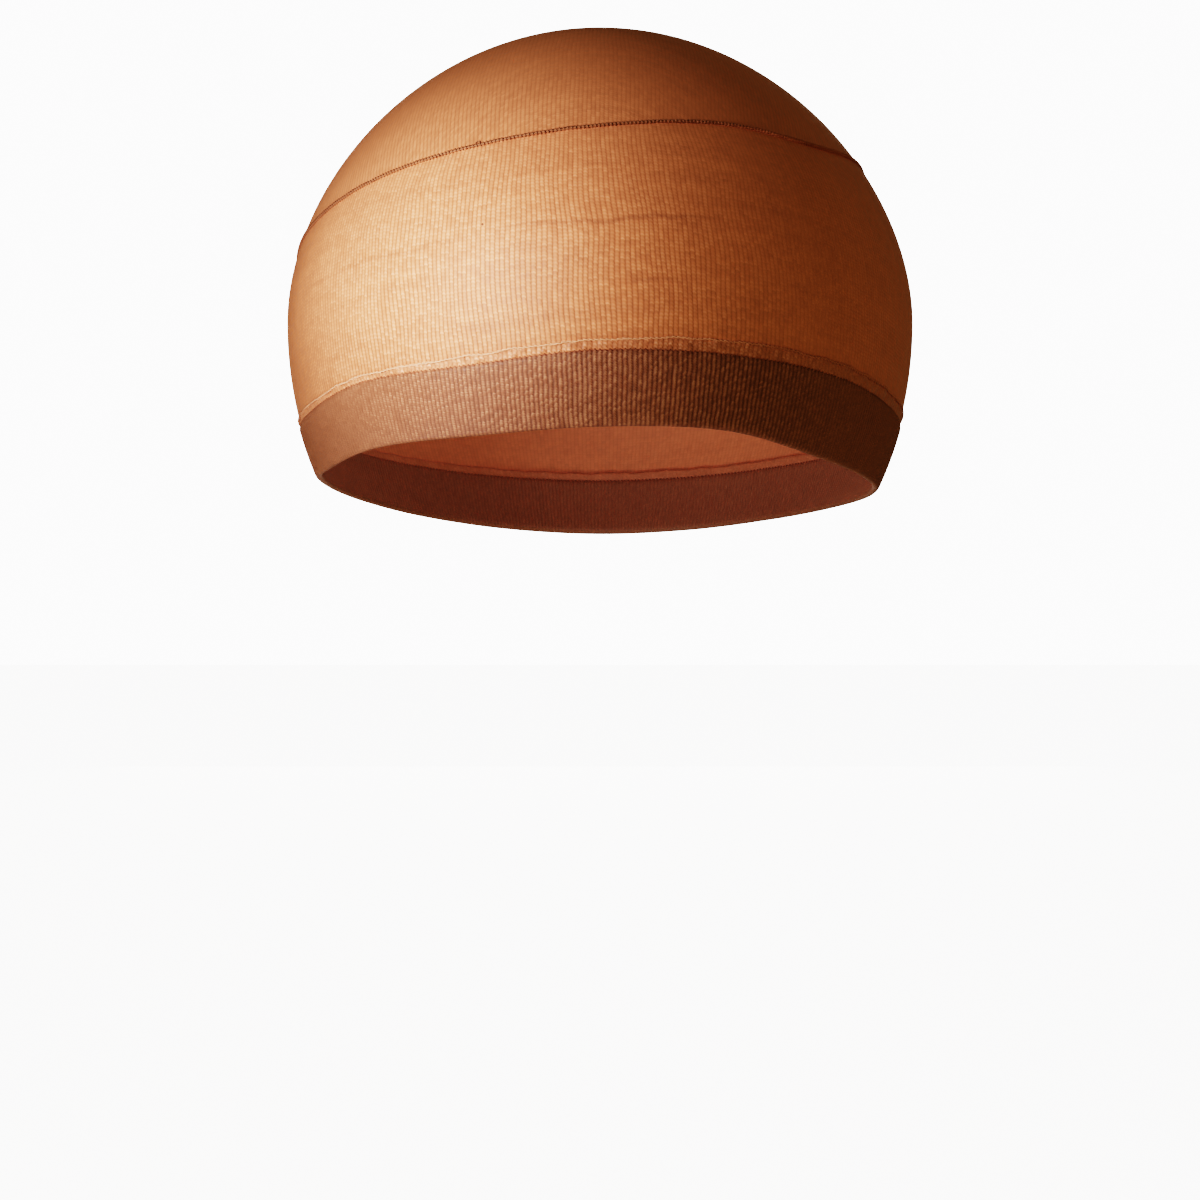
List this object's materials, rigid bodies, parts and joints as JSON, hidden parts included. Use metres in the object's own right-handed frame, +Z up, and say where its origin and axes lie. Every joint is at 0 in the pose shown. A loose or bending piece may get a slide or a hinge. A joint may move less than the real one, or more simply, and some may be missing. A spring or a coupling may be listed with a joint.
{
  "type": "stocking wig cap",
  "caption": "Stretched stocking wig cap: sheer knitted crown with a toe seam over its front, a looped joining strip and a doubled knit band round the open rim.",
  "frame": {"origin": "the middle of the head opening, level with the hem at the sides", "axes": "+Z up through the crown, -Y towards the front of the cap over the forehead, +X towards the wearer's left side"},
  "size_m": [0.1549, 0.1839, 0.1227],
  "materials": {
    "sheer_knit": "sheer tan nylon knit",
    "looped_edge": "pale shiny knitted loops",
    "band_knit": "dark ribbed double knit",
    "seam_thread": "dark brown overlock thread"
  },
  "bodies": {
    "root": {"crown": "sheer_knit", "joining_strip": "looped_edge", "welt_band": "band_knit", "toe_seam": "seam_thread"}
  },
  "joints": []
}
